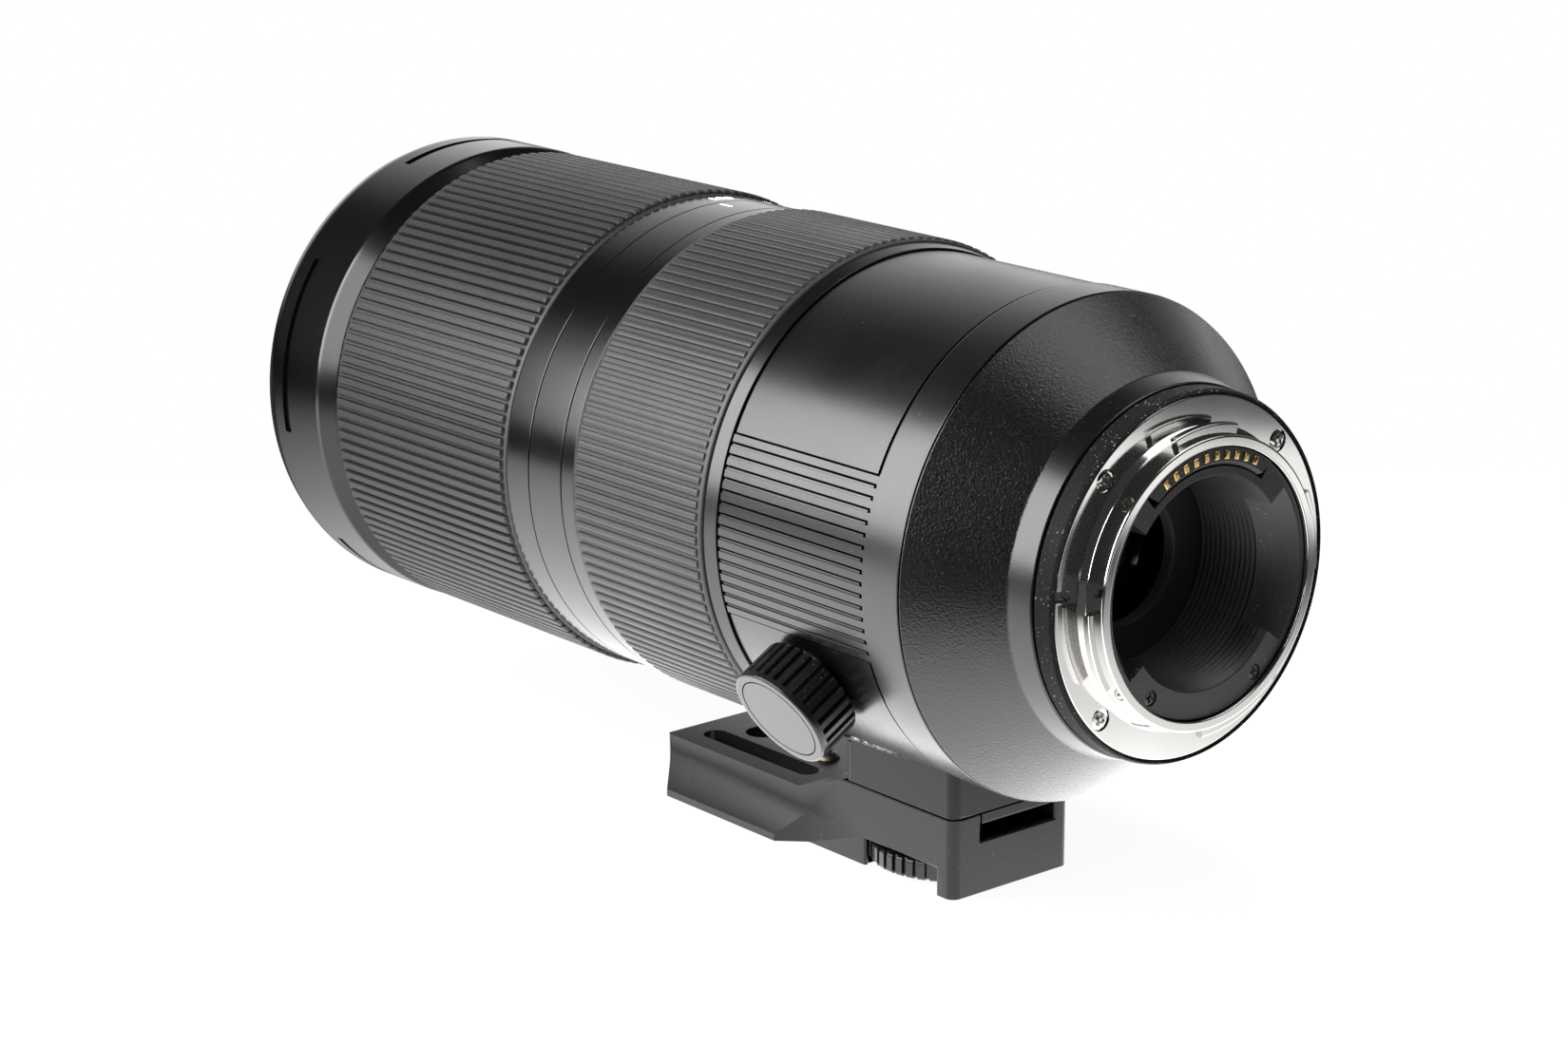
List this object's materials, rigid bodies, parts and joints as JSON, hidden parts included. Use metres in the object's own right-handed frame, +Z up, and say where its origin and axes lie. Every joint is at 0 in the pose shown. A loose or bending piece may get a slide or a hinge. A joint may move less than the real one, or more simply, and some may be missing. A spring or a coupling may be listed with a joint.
{
  "type": "camera zoom lens",
  "caption": "Black telephoto zoom lens with ribbed grips, an extending front barrel, a metal bayonet mount and a rotating tripod collar with a clamp knob and a dovetail foot.",
  "frame": {"origin": "centre of the bayonet flange's rear face, on the optical axis", "axes": "+Y along the optical axis towards the front glass, +Z up, +X to the right for someone behind the lens"},
  "size_m": [0.0919, 0.2026, 0.1061],
  "materials": {
    "black_anodised": "satin black anodised aluminium",
    "black_sand": "fine sand-textured black paint",
    "foot_paint": "satin grey-black paint",
    "knob_black": "semi-gloss black",
    "grip_rubber": "matt ribbed rubber",
    "seal_rubber": "soft black seal",
    "bayonet_chrome": "bright plated metal",
    "barrel_alloy": "black anodised inside parts",
    "cam_brass": "turned brass",
    "fastener_steel": "machined steel",
    "black_screws": "blackened steel",
    "shoe_brass": "soft clamp shoe",
    "matte_black_plastic": "matt black plastic",
    "contact_gold": "gold-plated",
    "board_green": "circuit board",
    "coil_copper": "copper winding",
    "lens_glass": "coated optical glass"
  },
  "bodies": {
    "barrel": {"index_ring": "black_anodised", "trim_ring": "black_anodised", "main_barrel": "barrel_alloy", "guide_tube": "barrel_alloy", "iris_housing": "barrel_alloy", "iris_blades": "fastener_steel", "iris_cover": "barrel_alloy", "stabiliser_frame": "barrel_alloy", "stabiliser_element": "lens_glass", "focus_rods": "fastener_steel", "focus_magnet": "fastener_steel", "rod_plate": "barrel_alloy", "rear_cell": "barrel_alloy", "rear_element": "lens_glass", "rear_doublet": "lens_glass", "mount_base": "barrel_alloy", "control_board": "board_green", "rear_cover": "black_sand", "dust_seal": "seal_rubber", "mount_flange": "bayonet_chrome", "mount_screws": "bayonet_chrome", "contact_block": "matte_black_plastic", "contact_pins": "contact_gold", "rear_baffle": "matte_black_plastic", "baffle_screws": "black_screws"},
    "zoom_control": {"zoom_ring": "black_anodised", "zoom_grip": "grip_rubber", "zoom_keys": "fastener_steel", "cam_tube": "cam_brass"},
    "front_group": {"front_ring": "black_anodised", "front_barrel": "barrel_alloy", "front_cell": "barrel_alloy", "front_retainer": "black_anodised", "front_element": "lens_glass", "front_doublet": "lens_glass", "front_rollers": "cam_brass"},
    "zoom_group": {"zoom_carriage": "barrel_alloy", "zoom_rollers": "cam_brass", "zoom_element": "lens_glass", "zoom_doublet": "lens_glass"},
    "focus_control": {"focus_ring": "black_anodised", "focus_grip": "grip_rubber"},
    "focus_group": {"focus_carriage": "barrel_alloy", "focus_element": "lens_glass", "focus_coil": "coil_copper"},
    "collar": {"tripod_collar": "black_anodised", "foot_saddle": "foot_paint", "saddle_screws": "fastener_steel", "tripod_foot": "foot_paint", "stop_screw": "cam_brass"},
    "knob": {"clamp_knob": "knob_black", "knob_cap": "knob_black", "clamp_screw": "fastener_steel"},
    "shoe": {"clamp_shoe": "shoe_brass"},
    "foot_clamp": {"foot_thumbwheel": "knob_black", "foot_screw": "fastener_steel"}
  },
  "joints": [
    {"name": "zoom_turn", "type": "hinge", "parent": "barrel", "child": "zoom_control", "pos_m": [0, 0, 0], "axis": [0, -1, 0], "range_deg": [0, 80]},
    {"name": "front_extend", "type": "slide", "parent": "barrel", "child": "front_group", "axis": [0, 1, 0], "range_m": [0, 0.0751]},
    {"name": "zoom_group_slide", "type": "slide", "parent": "barrel", "child": "zoom_group", "axis": [0, 1, 0], "range_m": [0, 0.0161]},
    {"name": "focus_turn", "type": "hinge", "parent": "barrel", "child": "focus_control", "pos_m": [0, 0, 0], "axis": [0, 1, 0], "continuous": true},
    {"name": "focus_group_slide", "type": "slide", "parent": "barrel", "child": "focus_group", "axis": [0, 1, 0], "range_m": [0, 0.012]},
    {"name": "collar_turn", "type": "hinge", "parent": "barrel", "child": "collar", "pos_m": [0, 0, 0], "axis": [0, 1, 0], "continuous": true},
    {"name": "knob_turn", "type": "hinge", "parent": "collar", "child": "knob", "pos_m": [-0.04355, 0.0478, -0.02576], "axis": [-0.8607, 0, -0.509], "range_deg": [0, 150]},
    {"name": "shoe_slide", "type": "slide", "parent": "collar", "child": "shoe", "axis": [0.8607, 0, 0.509], "range_m": [0, 0.00043]},
    {"name": "foot_clamp_turn", "type": "hinge", "parent": "collar", "child": "foot_clamp", "pos_m": [0, 0.0546, -0.06], "axis": [0, 0, 1], "range_deg": [0, 540]}
  ],
  "couplings": [
    {"joint": "front_extend", "follows": "zoom_turn", "m_per_rad": 0.053715},
    {"joint": "zoom_group_slide", "follows": "zoom_turn", "m_per_rad": 0.011459},
    {"joint": "shoe_slide", "follows": "knob_turn", "m_per_rad": 0.00015915}
  ]
}
